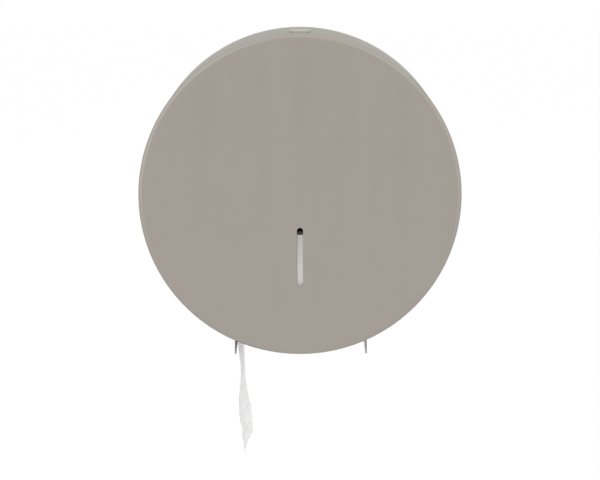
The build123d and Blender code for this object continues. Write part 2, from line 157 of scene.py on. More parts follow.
def mix_colors(tree, share, first, second, blend="MIX"):
    """Mix a share of the second colour into the first."""
    mix = add_node(tree, "MixRGB", blend_type=blend)
    for socket, value in enumerate((share, first, second)):
        join(tree, value, mix, socket)
    return mix.outputs[0]


def noise_at(tree, place, scale, detail):
    """Even noise, with this many lumps a metre."""
    pattern = add_node(tree, "TexNoise", {"Scale": scale, "Detail": detail})
    join(tree, place, pattern, "Vector")
    return pattern.outputs[0]


def bump(tree, shader, height, strength, distance):
    """Let a pattern stand out of the surface by up to a distance."""
    node = add_node(tree, "Bump", {"Strength": strength, "Distance": distance})
    join(tree, height, node, "Height")
    join(tree, node.outputs[0], shader, "Normal")


# %% New finishes
def new_finish(name, color, roughness, metallic=0.0):
    """A material, its tree and its shader, with plain values on the shader's own sockets."""
    finish = bpy.data.materials.new(name)
    finish.use_nodes = True
    shader = finish.node_tree.nodes["Principled BSDF"]
    shader.inputs["Base Color"].default_value = (*color, 1)
    shader.inputs["Roughness"].default_value = roughness
    shader.inputs["Metallic"].default_value = metallic
    return finish, finish.node_tree, shader


# %% [markdown]
# ## Stage and light
#
# The photograph has a plain white ground. The world is white where the camera, a reflection or
# glass looks at it, and dimmer for the light that falls on matt things, so the lamps can still
# shape them. The floor is far below. It is mostly plain white too, with a little room for the
# object's shadow, and from underneath it isn't there.

# %% Make the world
WORLD_LIGHT = 0.3


def seen_directly(tree):
    """1 for the camera, reflections and glass, and 0 for the light on matt things."""
    rays = add_node(tree, "LightPath").outputs
    seen = math_node(tree, "MAXIMUM", rays["Is Camera Ray"], rays["Is Glossy Ray"])
    return math_node(tree, "MAXIMUM", seen, rays["Is Transmission Ray"])


world = bpy.data.worlds.new("studio")
world.use_nodes = True
bpy.context.scene.world = world
tree = world.node_tree
sky = tree.nodes["Background"]
sky.inputs["Color"].default_value = (1, 1, 1, 1)
level = fit_range(tree, seen_directly(tree), (0.0, 1.0), (WORLD_LIGHT, 1.0))
join(tree, level, sky, "Strength")
print("world light on matt things:", WORLD_LIGHT)

# %% Make the floor
FLOOR_HEIGHT = -0.9
FLOOR_SIZE = 40.0
FLOOR_WHITE = 0.9  # how much of the floor is plain white ground rather than lit paper
FLOOR_GLOW = 1.07  # makes up for what the lit paper lacks, so that floor and world meet unseen

bpy.ops.mesh.primitive_plane_add(size=FLOOR_SIZE, location=(0, 0, FLOOR_HEIGHT))
floor = bpy.context.object
floor.name = "floor"
ground, tree, paper_ground = new_finish("pale_floor", (0.9, 0.9, 0.9), 0.9)
share = times(tree, seen_directly(tree), FLOOR_WHITE)
glow = add_node(tree, "Emission", {"Color": (1, 1, 1, 1), "Strength": FLOOR_GLOW})
lit = add_node(tree, "MixShader")
join(tree, share, lit, 0)
join(tree, paper_ground.outputs[0], lit, 1)
join(tree, glow.outputs[0], lit, 2)
below = add_node(tree, "NewGeometry")
clear = add_node(tree, "BsdfTransparent")
either = add_node(tree, "MixShader")
join(tree, below.outputs["Backfacing"], either, 0)
join(tree, lit.outputs[0], either, 1)
join(tree, clear.outputs[0], either, 2)
join(tree, either.outputs[0], tree.nodes["Material Output"], "Surface")
floor.data.materials.append(ground)
print("floor:", FLOOR_SIZE, "m across,", -FLOOR_HEIGHT, "m below the drum's axis")

# %% Hang the lamps
# The front lamp and the two fills light the matt pieces only. The softboxes also show in metal.
LAMPS = {  # place, side of the square lamp, power in watts, seen in reflections or not
    "front_lamp": ((-0.2, -4.2, 1.4), 0.8, 98, False),
    "left_fill": ((-2.95, -0.4, 0.6), 1.8, 14, False),
    "right_fill": ((2.95, -0.4, -0.1), 1.8, 34, False),
    "top_softbox": ((0.0, 0.0, 3.2), 7.0, 28.0, True),
    "left_softbox": ((-3.0, -1.5, 0.9), 4.8, 23.0, True),
    "right_softbox": ((3.0, -1.5, 0.9), 4.8, 16.0, True),
}
for name, (place, side, power, mirrored) in LAMPS.items():
    lamp = bpy.data.objects.new(name, bpy.data.lights.new(name, "AREA"))
    lamp.data.size = side
    lamp.data.energy = power
    lamp.location = place
    lamp.visible_glossy = mirrored
    lamp.rotation_euler = (-Vector(place)).to_track_quat("-Z", "Y").to_euler()
    bpy.context.collection.objects.link(lamp)
print("lamps:", len(LAMPS))

# %% [markdown]
# ## Helpers for modelling
#
# The pieces are made as by hand: a primitive at its size and place, shaped in edit mode. An
# operator works on all that is selected, so each step first deselects everything and then picks
# faces or edges by where they are.


# %% Select and settle
def only(piece):
    """Leave this piece alone selected, in object mode."""
    if bpy.context.mode != "OBJECT":
        bpy.ops.object.mode_set(mode="OBJECT")
    bpy.ops.object.select_all(action="DESELECT")
    piece.select_set(True)
    bpy.context.view_layer.objects.active = piece


def settle(piece):
    """Put the object's place, turn and size into its mesh, so that it sits at the origin."""
    only(piece)
    bpy.ops.object.transform_apply(location=True, rotation=True, scale=True)
    return piece


def pick(piece, kind, test):
    """In edit mode, select only the edges or faces for which the test holds."""
    bpy.ops.mesh.select_mode(type=kind)
    bpy.ops.mesh.select_all(action="DESELECT")
    mesh = bmesh.from_edit_mesh(piece.data)
    for part in mesh.edges if kind == "EDGE" else mesh.faces:
        if test(part):
            part.select_set(True)
    bmesh.update_edit_mesh(piece.data)


# %% Shape and cut
SQUARE = 0.9999  # a direction whose part along an axis is this much runs straight along it


def apply_modifier(piece, kind, **settings):
    """Add a modifier with its settings, and make it part of the mesh."""
    only(piece)
    modifier = piece.modifiers.new(kind.lower(), kind)
    for name, setting in settings.items():
        setattr(modifier, name, setting)
    bpy.ops.object.modifier_apply(modifier=modifier.name)


def add_block(name, low, high):
    """A box between two corners."""
    low, high = Vector(low), Vector(high)
    bpy.ops.mesh.primitive_cube_add(size=1, location=(low + high) / 2)
    block = bpy.context.object
    block.name = name
    block.scale = high - low
    return settle(block)


def add_drum(name, radius, rear, front, segments, axis_height=0.0):
    """A cylinder that lies along Y, from its rear end to its front end."""
    middle = (0, (rear + front) / 2, axis_height)
    bpy.ops.mesh.primitive_cylinder_add(
        vertices=segments,
        radius=radius,
        depth=rear - front,
        location=middle,
        rotation=(QUARTER_TURN, 0, 0),
    )
    bpy.context.object.name = name
    return settle(bpy.context.object)


def round_edges(block, axis, radius, segments):
    """Round the edges of a block that run along one axis (0 to 2)."""

    def runs_along(edge):
        return abs((edge.verts[0].co - edge.verts[1].co).normalized()[axis]) > SQUARE

    bpy.ops.object.mode_set(mode="EDIT")
    pick(block, "EDGE", runs_along)
    bpy.ops.mesh.bevel(offset=radius, segments=segments, affect="EDGES")
    bpy.ops.object.mode_set(mode="OBJECT")


def cut_out(piece, cutter):
    """Take the cutter out of the piece, and the cutter out of the scene."""
    apply_modifier(piece, "BOOLEAN", operation="DIFFERENCE", object=cutter, solver="EXACT")
    bpy.data.objects.remove(cutter)


# %% Hand over a finished piece
def hand_over(piece, body, slot, finish, *replaced):
    """Give a finished piece its finish and body, and hide the CAD nodes that it stands for. The
    slot is not used.
    """
    piece.data.materials.clear()
    piece.data.materials.append(finish)
    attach(piece, body)
    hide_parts(*replaced)
    print(piece.name, "has", len(piece.data.polygons), "faces")


# %% [markdown]
# ## Satin stainless steel
#
# The drum is brushed sheet. On its flat front the grain runs straight up and down, and on its
# side it runs round, as the belt leaves it. Both are long thin streaks of noise. Distance from
# the axis tells front from side, so no picture or unwrapping is needed. The streaks move the
# colour, the roughness and a very small bump. Broad faint bands shade the colour too, and a
# slow cloudy noise adds the marks that wiping leaves.


# %% Coordinates round an axis
def around_axis(tree, axis_height=0.0):
    """Distance from an axis along Y, the way round it, and the depth, from Object coordinates."""
    place = add_node(tree, "TexCoord").outputs["Object"]
    split = add_node(tree, "SeparateXYZ")
    join(tree, place, split, 0)
    height = math_node(tree, "SUBTRACT", split.outputs["Z"], axis_height)
    flat = add_node(tree, "CombineXYZ")
    join(tree, split.outputs["X"], flat, "X")
    join(tree, height, flat, "Z")
    length = add_node(tree, "VectorMath", operation="LENGTH")
    join(tree, flat.outputs[0], length, 0)
    angle = math_node(tree, "ARCTAN2", split.outputs["X"], height)
    return place, length.outputs["Value"], angle, split.outputs["Y"]


NOISE_RANGE = (0.3, 0.7)  # where most of a noise's values lie


def streaks(tree, x, y, z, detail=3.0):
    """Noise on a vector of three values, each already scaled."""
    vector = add_node(tree, "CombineXYZ")
    for socket, value in zip("XYZ", (x, y, z)):
        join(tree, value, vector, socket)
    pattern = add_node(tree, "TexNoise", {"Scale": 1.0, "Detail": detail, "Roughness": 0.6})
    join(tree, vector.outputs[0], pattern, "Vector")
    return pattern.outputs[0]


def spread(tree, value, low, high):
    """Fit noise into a range."""
    return fit_range(tree, value, NOISE_RANGE, (low, high))


# %% Grain and bands
GRAIN_ACROSS = 1500  # streaks a metre, across the grain
GRAIN_ALONG = 20
BAND_ACROSS = 45  # the belt also leaves broad faint bands
BAND_ALONG = 3
FRONT_GRAIN_END = 147 * MM  # where the flat front ends and its rounded edge begins
SIDE_GRAIN_START = 151 * MM


def belt_marks(tree, across, along, front_layer, side_layer):
    """Streaks that run up and down on the drum's front, and round it on its side."""
    place, distance, angle, depth = around_axis(tree)
    split = add_node(tree, "SeparateXYZ")
    join(tree, place, split, 0)
    front_x = times(tree, split.outputs["X"], across)
    front_z = times(tree, split.outputs["Z"], along)
    side_way = times(tree, angle, along * SIDE_GRAIN_START)
    side_depth = times(tree, depth, across)
    on_side = fit_range(tree, distance, (FRONT_GRAIN_END, SIDE_GRAIN_START))
    marks = add_node(tree, "Mix")
    join(tree, on_side, marks, 0)
    join(tree, streaks(tree, front_x, front_layer, front_z), marks, 2)
    join(tree, streaks(tree, side_way, side_depth, side_layer), marks, 3)
    return marks.outputs[0]


# %% The drum's steel
DRUM_COLOR = (0.374, 0.344, 0.312)
DRUM_GLANCE = (0.745, 0.787, 0.737)  # what it takes on of white where it is seen along its face
DRUM_ROUGHNESS = (0.33, 0.43)
WIPED_ROUGHNESS = (-0.03, 0.04)
WIPED_SCALE = 14.0
GRAIN_DEPTH = 0.02 * MM
CONTRAST = 0.035  # how far streaks and bands go from the drum's colour, at the most
DARK_STREAK = [part * (1 - CONTRAST) for part in DRUM_COLOR]
LIGHT_STREAK = [part * (1 + CONTRAST) for part in DRUM_COLOR]
GRAIN_SHADE = (0.1, 0.5)  # the two shades add up to the share of the light streaks
BAND_SHADE = (0.1, 0.4)

drum_steel, tree, shader = new_finish(
    "drum_steel", DRUM_COLOR, sum(DRUM_ROUGHNESS) / 2, metallic=1.0
)
shader.inputs["Specular Tint"].default_value = (*DRUM_GLANCE, 1)
place, distance, _, _ = around_axis(tree)
grain = belt_marks(tree, GRAIN_ACROSS, GRAIN_ALONG, 0.0, times(tree, distance, GRAIN_ACROSS))
bands = belt_marks(tree, BAND_ACROSS, BAND_ALONG, 7.0, 3.0)
clouds = noise_at(tree, place, WIPED_SCALE, 4.0)
rough = math_node(
    tree, "ADD", spread(tree, grain, *DRUM_ROUGHNESS), spread(tree, clouds, *WIPED_ROUGHNESS)
)
join(tree, rough, shader, "Roughness")
shade = math_node(
    tree, "ADD", spread(tree, grain, *GRAIN_SHADE), spread(tree, bands, *BAND_SHADE)
)
tone = mix_colors(tree, shade, (*DARK_STREAK, 1), (*LIGHT_STREAK, 1))
join(tree, tone, shader, "Base Color")
bump(tree, shader, grain, 0.3, GRAIN_DEPTH)
print("the drum's steel has", len(tree.nodes), "nodes")

# %% [markdown]
# ## Plainer metals
#
# The back plate and brackets are sheet as it comes from the mill, with a faint straight grain.
# Pins, rivets, nuts and the axle are turned or headed, and the lock's head is plated. One
# function makes them all, and each has its own colour, roughness and size of grain.


# %% A function for plain metal
STREAK_CHANGE = 0.05  # of the roughness, up and down
CLOUD_CHANGE = (-0.04, 0.06)


def plain_metal(name, color, roughness, grain_scale, depth, cloud_scale=40.0, glance=1.0):
    """Metal with streaks of its own scale on three axes and a slow change of roughness."""
    finish, tree, shader = new_finish(name, color, roughness, metallic=1.0)
    shader.inputs["Specular Tint"].default_value = (glance, glance, glance, 1)
    place = add_node(tree, "TexCoord").outputs["Object"]
    mapping = add_node(tree, "Mapping", {"Scale": grain_scale})
    join(tree, place, mapping, "Vector")
    grain = noise_at(tree, mapping.outputs[0], 1.0, 4.0)
    clouds = noise_at(tree, place, cloud_scale, 3.0)
    rough = math_node(
        tree,
        "ADD",
        spread(tree, grain, roughness - STREAK_CHANGE, roughness + STREAK_CHANGE),
        spread(tree, clouds, *CLOUD_CHANGE),
    )
    join(tree, rough, shader, "Roughness")
    bump(tree, shader, grain, 0.3, depth)
    return finish


# %% The metals
# Each has a colour, a roughness, streaks a metre on three axes, and the depth of its grain.
MILL_DEPTH = 0.02 * MM
TURNED_DEPTH = 0.01 * MM
PLATED_DEPTH = 0.008 * MM

# painted shade: the blades' steel is darker than the drum's, for the shade they sit in under the
# drum
blade_steel = plain_metal(
    "blade_steel", (0.228, 0.223, 0.213), 0.35, (1500, 30, 1500), MILL_DEPTH
)
plate_steel = plain_metal("plate_steel", (0.45, 0.45, 0.44), 0.42, (900, 900, 14), MILL_DEPTH)
turned_steel = plain_metal(
    "turned_steel", (0.5, 0.5, 0.49), 0.3, (700, 700, 700), TURNED_DEPTH, cloud_scale=120.0
)
lock_nickel = plain_metal(
    "lock_nickel",
    (0.6, 0.59, 0.555),
    0.62,
    (400, 400, 400),
    PLATED_DEPTH,
    cloud_scale=150.0,
    glance=0.46,
)
for metal in (blade_steel, plate_steel, turned_steel, lock_nickel):
    print("plain metal:", metal.name)

# %% [markdown]
# ## Moulded plastic and board
#
# The hub is black plastic with the fine even texture of its mould. The core is grey-brown board
# that is wound on a slant, so the seam of each strip climbs round it like a thread.

# %% The hub's plastic
PLASTIC_COLOR = (0.019, 0.018, 0.0165)
PLASTIC_GLOSS = 0.38
HANDLED_ROUGHNESS = (0.38, 0.56)
HANDLED_SCALE = 45.0  # lumps a metre
MOULD_SCALE = 1400.0
MOULD_RELIEF = 0.03 * MM

hub_plastic, tree, shader = new_finish("hub_plastic", PLASTIC_COLOR, 0.45)
shader.inputs["Specular IOR Level"].default_value = PLASTIC_GLOSS
place = add_node(tree, "TexCoord").outputs["Object"]
handled = noise_at(tree, place, HANDLED_SCALE, 3.0)
join(tree, spread(tree, handled, *HANDLED_ROUGHNESS), shader, "Roughness")
bump(tree, shader, noise_at(tree, place, MOULD_SCALE, 2.0), 0.4, MOULD_RELIEF)
print("the hub's plastic has", len(tree.nodes), "nodes")

# %% The core's board
CORE_STRIP = 38 * MM  # how far one strip climbs in a turn
CORE_COLOR = (0.235, 0.2, 0.16)
CORE_SEAM = (0.16, 0.13, 0.1)
SEAM_WIDTH = 0.035  # as a share of the strip
CUT_END_SHADE = 0.35  # the front millimetre is darker: partly the board's own darker cut plies, partly painted shade where the core meets the dark bore
CUT_END_DEPTH = 1.0 * MM
MOTTLE = 0.35  # how much the fibres shade the board
BOARD_FIBRES = 420.0  # a metre
BOARD_RELIEF = 0.08 * MM

roll_low, roll_high = box_of("roll_paper")
roll_axis = (roll_low.z + roll_high.z) / 2
core_low, core_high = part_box("roll_core")
core_board, tree, shader = new_finish("core_board", CORE_COLOR, 0.85)
place, _, angle, depth = around_axis(tree, roll_axis)
turns = math_node(tree, "DIVIDE", angle, 2 * math.pi)
climb = math_node(tree, "ADD", turns, math_node(tree, "DIVIDE", depth, CORE_STRIP))
strip = math_node(tree, "FRACT", climb, 0)
seam = add_node(tree, "ValToRGB")
seam.color_ramp.elements[0].position = 0.0
seam.color_ramp.elements[0].color = (*CORE_SEAM, 1)
seam.color_ramp.elements[1].position = SEAM_WIDTH
seam.color_ramp.elements[1].color = (*CORE_COLOR, 1)
join(tree, strip, seam, 0)
fibres = noise_at(tree, place, BOARD_FIBRES, 5.0)
mottle = mix_colors(tree, MOTTLE, seam.outputs[0], fibres, blend="OVERLAY")
core_front = core_low[1]
# partly painted shade, partly the board's own darker cut end: the core's front millimetre darkens
cut_end = fit_range(tree, depth, (core_front, core_front + CUT_END_DEPTH), (CUT_END_SHADE, 1.0))
shaded = mix_colors(tree, 1.0, mottle, cut_end, blend="MULTIPLY")
join(tree, shaded, shader, "Base Color")
bump(tree, shader, fibres, 0.5, BOARD_RELIEF)
print("core's axis:", round(roll_axis / MM, 1), "mm from the drum's")

# %% [markdown]
# ## Tissue
#
# Wound tissue shows two faces. Its ends are hundreds of thin edges, which read as fine rings of
# slightly different whites. Its outside is soft, with short fibres. On the loose end the light
# embossing shows too, laid out on the sheet's own map so that it bends with the paper.

# %% What both kinds of tissue share
TISSUE_COLOR = (0.87, 0.87, 0.86)
TISSUE_ROUGHNESS = 0.9
GLOW_SHARE = 0.1
EVEN_GLOW = (1.0, 1.0, 1.0)  # in paper, light of every colour spreads equally far
SHEEN = 0.15


def new_tissue(name, glow_depth):
    """Paper with a soft sheen, in which a little light spreads by a depth."""
    finish, tree, shader = new_finish(name, TISSUE_COLOR, TISSUE_ROUGHNESS)
    shader.inputs["Subsurface Weight"].default_value = GLOW_SHARE
    shader.inputs["Subsurface Radius"].default_value = EVEN_GLOW
    shader.inputs["Subsurface Scale"].default_value = glow_depth
    shader.inputs["Sheen Weight"].default_value = SHEEN
    return finish, tree, shader


# %% Tissue for the roll
LAYER_PITCH = 0.35 * MM
LAYER_WOBBLE = 2.2  # how much a ring changes on its way round
BAND_PITCH = 3.2 * MM  # layers that were wound a little tighter or looser, seen as broader rings
BAND_WOBBLE = 0.6
RING_SHARE = (0.0, 0.5)  # fine and broad rings each give half of the tone
RING_RELIEF = 0.25 * MM
WOUND_FIBRES = 900.0  # a metre
PAINTED_CORE_SHADE = (0.69, 0.68, 0.64)  # painted shade near the core: the end face is darker and warmer towards the bore, for the shade that falls on it through the slot
PLAIN_END_COLOR = (0.94, 0.93, 0.90)
OUTER_COLOR = (0.885, 0.878, 0.852)  # the outer layers are fluffed up and shade one another
RING_WHITE = (0.87, 0.87, 0.865, 1), (1, 1, 1, 1)
CORE_SHADE_FADE = (36 * MM, 80 * MM)  # distances from the roll's axis
PLAIN_TO_OUTER = (84 * MM, 110 * MM)

wound_tissue, tree, shader = new_tissue("wound_tissue", 1.5 * MM)
place, distance, angle, _ = around_axis(tree, roll_axis)
layers = math_node(tree, "DIVIDE", distance, LAYER_PITCH)
rings = streaks(tree, layers, times(tree, angle, LAYER_WOBBLE), 0.0, detail=4.0)
broad_layers = math_node(tree, "DIVIDE", distance, BAND_PITCH)
broad_rings = streaks(tree, broad_layers, times(tree, angle, BAND_WOBBLE), 0.0)
# painted shade: the roll's end face is darker and warmer near the core, and fades to its plain
# white further out
away_from_core_shade = fit_range(tree, distance, CORE_SHADE_FADE)
wound = mix_colors(tree, away_from_core_shade, (*PAINTED_CORE_SHADE, 1), (*PLAIN_END_COLOR, 1))
wound = mix_colors(tree, fit_range(tree, distance, PLAIN_TO_OUTER), wound, (*OUTER_COLOR, 1))
ring_tone = math_node(
    tree, "ADD", spread(tree, rings, *RING_SHARE), spread(tree, broad_rings, *RING_SHARE)
)
layered = mix_colors(tree, 1.0, wound, mix_colors(tree, ring_tone, *RING_WHITE), blend="MULTIPLY")
join(tree, layered, shader, "Base Color")
fibres = noise_at(tree, place, WOUND_FIBRES, 4.0)
bump(tree, shader, math_node(tree, "ADD", rings, times(tree, fibres, 0.5)), 0.5, RING_RELIEF)

# %% Tissue for the loose end
EMBOSS_PITCH = 2.4 * MM
EMBOSS_RELIEF = 0.16 * MM
LOOSE_FIBRES = 1100.0  # a metre
LOOSE_WHITE = (0.865, 0.866, 0.862, 1), (0.905, 0.906, 0.903, 1)

loose_tissue, tree, shader = new_tissue("loose_tissue", 2 * MM)
flat_place = add_node(tree, "UVMap", uv_map="sheet").outputs[0]
dots = add_node(tree, "TexVoronoi", {"Scale": 1 / EMBOSS_PITCH, "Randomness": 0.15})
join(tree, flat_place, dots, "Vector")
fibres = noise_at(tree, flat_place, LOOSE_FIBRES, 4.0)
join(tree, mix_colors(tree, fibres, *LOOSE_WHITE), shader, "Base Color")
pillow = times(tree, dots.outputs["Distance"], 0.5)
relief = math_node(tree, "ADD", pillow, times(tree, fibres, 0.4))
bump(tree, shader, relief, 0.3, EMBOSS_RELIEF)
print("tissues:", wound_tissue.name, "and", loose_tissue.name)

# %% [markdown]
# ## Finishes for the CAD nodes
#
# Small hard pieces already have their true shape in the CAD model. They only need a finish,
# which goes into the node's own material slot.

# %% Give the nodes their finishes
BY_SLOT = {
    "drum_steel": drum_steel,
    "blade_steel": blade_steel,
    "plate_steel": plate_steel,
    "pin_steel": turned_steel,
    "lock_chrome": lock_nickel,
    "hub_plastic": hub_plastic,
    "core_card": core_board,
    "tissue": wound_tissue,
}
for row in frame["record"]["subparts"]:
    for material_slot in nodes[row["node"]].material_slots:
        material_slot.material = BY_SLOT[row["material_slot"]]

# %% [markdown]
# ## The drum
#
# One sheet makes the front, the rounded edge and the side. It starts as a cylinder with its
# rear face taken away. The front edge is bevelled with many segments, so it catches light as a
# soft line, and a narrow inset keeps the flat front from shading round. Only then does the skin
# get its thickness, inwards, so that the outside stays at its size.

# %% Form the sheet
DRUM_SEGMENTS = 256
DRUM_SHEET = 1.0 * MM
EDGE_RADIUS = 4.5 * MM
EDGE_SEGMENTS = 8
SHADING_INSET = 0.5 * MM
HAIR = 0.01 * MM

shell_low, shell_high = box_of("cover_shell")
drum_radius = shell_high.z
drum_front, drum_rear = shell_low.y, shell_high.y
drum = add_drum("drum_cover", drum_radius, drum_rear, drum_front, DRUM_SEGMENTS)
bpy.ops.object.mode_set(mode="EDIT")
pick(drum, "FACE", lambda face: face.normal.y > SQUARE)
bpy.ops.mesh.delete(type="ONLY_FACE")
pick(drum, "EDGE", lambda edge: all(v.co.y < drum_front + HAIR for v in edge.verts))
bpy.ops.mesh.bevel(offset=EDGE_RADIUS, segments=EDGE_SEGMENTS, profile=0.5, affect="EDGES")
pick(drum, "FACE", lambda face: face.normal.y < -SQUARE and len(face.verts) > 4)
bpy.ops.mesh.inset(thickness=SHADING_INSET)
bpy.ops.object.mode_set(mode="OBJECT")
apply_modifier(drum, "SOLIDIFY", thickness=DRUM_SHEET, offset=-1, use_even_offset=True)
print("drum sheet:", len(drum.data.polygons), "faces")

# %% [markdown]
# The openings are cut with blocks and a cylinder, where the CAD model has them: the outlet
# between the blades, the notch round the hinge ears, the hole under the lock's head, and the
# level slot that shows how much paper is left.

# %% Cut the outlet and the notch
OUTLET_HALF = 64.3 * MM
OUTLET_TURN = math.radians(0.3)  # the outlet sits a little to the right of the lowest point
OUTLET_MARGIN = 1.0 * MM
OUTLET_CORNER = 2.0 * MM
NOTCH_GAP = 0.4 * MM
NOTCH_SIDE_DROP = 1.0 * MM  # how far below the pins the notch meets the drum's side
EAR_RADIUS = 3.6 * MM
PAST = 20 * MM  # how far a cutter runs past what it cuts

outlet = add_block(
    "outlet_cutter",
    (-OUTLET_HALF, roll_low.y - OUTLET_MARGIN, -drum_radius - PAST),
    (OUTLET_HALF, roll_high.y + OUTLET_MARGIN, -drum_radius / 2),
)
round_edges(outlet, axis=2, radius=OUTLET_CORNER, segments=6)
outlet.rotation_euler.y = -OUTLET_TURN
settle(outlet)
cut_out(drum, outlet)
pin_low, pin_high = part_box("hinge_pin_right")
pin_forward, pin_height = (pin_low[1] + pin_high[1]) / 2, (pin_low[2] + pin_high[2]) / 2
notch_half = math.sqrt(drum_radius**2 - (pin_height - NOTCH_SIDE_DROP) ** 2)
notch = add_block(
    "notch_cutter",
    (-notch_half, pin_forward - EAR_RADIUS - NOTCH_GAP, -drum_radius - PAST),
    (notch_half, PAST, -drum_radius / 2),
)
cut_out(drum, notch)
print("with outlet and notch:", len(drum.data.polygons), "faces")

# %% Cut the level slot and the lock's hole
SLOT_WIDTH = 6.0 * MM
SLOT_LENGTH = 56.0 * MM
SLOT_DROP = 58.0 * MM  # the slot's middle, below the drum's axis
LOCK_BODY_RADIUS = 9.05 * MM

slot_cutter = add_block(
    "slot_cutter",
    (-SLOT_WIDTH / 2, drum_front - PAST, -SLOT_DROP - SLOT_LENGTH / 2),
    (SLOT_WIDTH / 2, drum_front + PAST / 2, -SLOT_DROP + SLOT_LENGTH / 2),
)
round_edges(slot_cutter, axis=1, radius=SLOT_WIDTH / 2 - HAIR, segments=16)
cut_out(drum, slot_cutter)
lock_low, lock_high = box_of("lock_barrel")
lock_middle = (lock_low + lock_high) / 2
bpy.ops.mesh.primitive_cylinder_add(
    vertices=64, radius=LOCK_BODY_RADIUS, depth=2 * PAST, location=(0, lock_middle.y, drum_radius)
)
cut_out(drum, settle(bpy.context.object))
print("with slot and lock's hole:", len(drum.data.polygons), "faces")

# %% Soften the cut edges and hand the drum over
CUT_EDGE = 0.12 * MM
SHARP_ANGLE = math.radians(50)
DRUM_SMOOTH_ANGLE = math.radians(14)

apply_modifier(
    drum, "BEVEL", width=CUT_EDGE, segments=2, limit_method="ANGLE", angle_limit=SHARP_ANGLE
)
only(drum)
bpy.ops.object.shade_smooth_by_angle(angle=DRUM_SMOOTH_ANGLE)
hand_over(drum, "cover", "drum_steel", drum_steel, "cover_shell")

# %% [markdown]
# ## The roll
#
# A wound roll is never quite true. Its ends are made by insetting the cylinder's end faces many
# times with small steps in depth, which gives rings that stand a little in and out. The bore is
# bridged from end to end, and at last a noise presses in the outside and the ends a little,
# because paper is soft.

# %% Wind the roll
ROLL_SEGMENTS = 192
END_RINGS = 24
RING_STEP = 0.16 * MM  # the most that one ring lies back
PAPER_EDGE = 0.8 * MM
ROLL_BANDS = 22
SOFTNESS = 0.25 * MM
ACROSS_ROLL = 60 * MM  # only the edges from end to end are longer
NEAR_BORE = 1.2  # the bore's open rings lie within this many of its radii


def round_bore(edge):
    """An edge of the two open rings that the last inset leaves round the core."""
    out = edge.verts[0].co.xz - Vector((0, roll_axis))
    return edge.is_boundary and out.length < bore_radius * NEAR_BORE


random.seed(8)
roll_radius = (roll_high.x - roll_low.x) / 2
bore_radius = (core_high[0] - core_low[0]) / 2
roll = add_drum("paper_roll", roll_radius, roll_high.y, roll_low.y, ROLL_SEGMENTS, roll_axis)
bpy.ops.object.mode_set(mode="EDIT")
pick(roll, "EDGE", lambda edge: edge.verts[0].co.y == edge.verts[1].co.y)
bpy.ops.mesh.bevel(offset=PAPER_EDGE, segments=2, affect="EDGES")
pick(roll, "FACE", lambda face: abs(face.normal.y) > SQUARE and len(face.verts) > 4)
ring_width = (roll_radius - PAPER_EDGE - bore_radius) / END_RINGS
standing = 0.0
for ring in range(END_RINGS):
    target = -random.uniform(0, RING_STEP)
    bpy.ops.mesh.inset(thickness=ring_width, depth=target - standing)
    standing = target
bpy.ops.mesh.delete(type="FACE")
pick(roll, "EDGE", round_bore)
bpy.ops.mesh.bridge_edge_loops(number_cuts=2)
pick(roll, "EDGE", lambda edge: abs(edge.verts[0].co.y - edge.verts[1].co.y) > ACROSS_ROLL)
bpy.ops.mesh.subdivide(number_cuts=ROLL_BANDS)
bpy.ops.mesh.select_all(action="SELECT")
bpy.ops.mesh.normals_make_consistent(inside=False)
bpy.ops.object.mode_set(mode="OBJECT")


# %% Soften the roll
SLOW_LUMPS = 22  # a metre
FINE_LUMPS = 40
BORE_RIM = 1.05  # the paper keeps its place out to this many of the bore's radii
ROLL_SMOOTH_ANGLE = math.radians(35)


def sink_at(place, lumps):
    """How far the paper gives at a place."""
    return SOFTNESS * (0.5 + 0.5 * noise.noise(place * lumps))


def soften_roll():
    """Press in the outside by a slow noise, and the ends by a finer one."""
    for point in roll.data.vertices:
        place = point.co
        out = Vector((place.x, 0, place.z - roll_axis))
        reach = out.length
        if reach > roll_radius - 2 * PAPER_EDGE:
            point.co = place - out.normalized() * sink_at(place, SLOW_LUMPS)
        elif reach > bore_radius * BORE_RIM:
            inward = -1 if place.y > (roll_low.y + roll_high.y) / 2 else 1
            point.co.y += inward * sink_at(place, FINE_LUMPS)


soften_roll()
only(roll)
bpy.ops.object.shade_smooth_by_angle(angle=ROLL_SMOOTH_ANGLE)
hand_over(roll, "roll", "tissue", wound_tissue, "roll_paper")

# %% [markdown]
# ## The loose end of the paper
#
# The last of the paper lies on the roll, leaves it at the lower left, turns down through the
# outlet and hangs by the left blade. It is seen almost edge on, so what shows is how its front
# and rear edges drift apart: the sheet twists, has one sharp crease, and ends where somebody
# tore it. The sheet is a grid of points: along it runs the path, across it the drift of its two
# edges.

# %% Facts of the sheet
PAPER_WIDTH = roll_high.y - roll_low.y
PAPER_THICKNESS = 0.3 * MM
HANG_PLACE = -58.0 * MM  # where the paper comes down, beside the left blade
WRAP = (math.radians(212), math.radians(230))  # where the paper still lies on the roll
BEND_RADIUS = 25 * MM
ROW_STEP = 1.5 * MM
COLUMNS = 46

wrap_radius = roll_radius + 0.5 * MM
wrap_end = Vector((wrap_radius * math.cos(WRAP[1]), roll_axis + wrap_radius * math.sin(WRAP[1])))
slant = Vector((-math.sin(WRAP[1]), math.cos(WRAP[1])))
turn = math.radians(270) - WRAP[1]
straight_length = (HANG_PLACE - wrap_end.x - BEND_RADIUS * (1 - math.cos(turn))) / slant.x
bend_start = wrap_end + slant * straight_length
bend_centre = Vector((HANG_PLACE - BEND_RADIUS, bend_start.y - BEND_RADIUS * math.sin(turn)))
hang_height = bend_centre.y
led_length = wrap_radius * (WRAP[1] - WRAP[0]) + straight_length + BEND_RADIUS * turn
print("paper led to the outlet:", round(led_length / MM, 1), "mm")

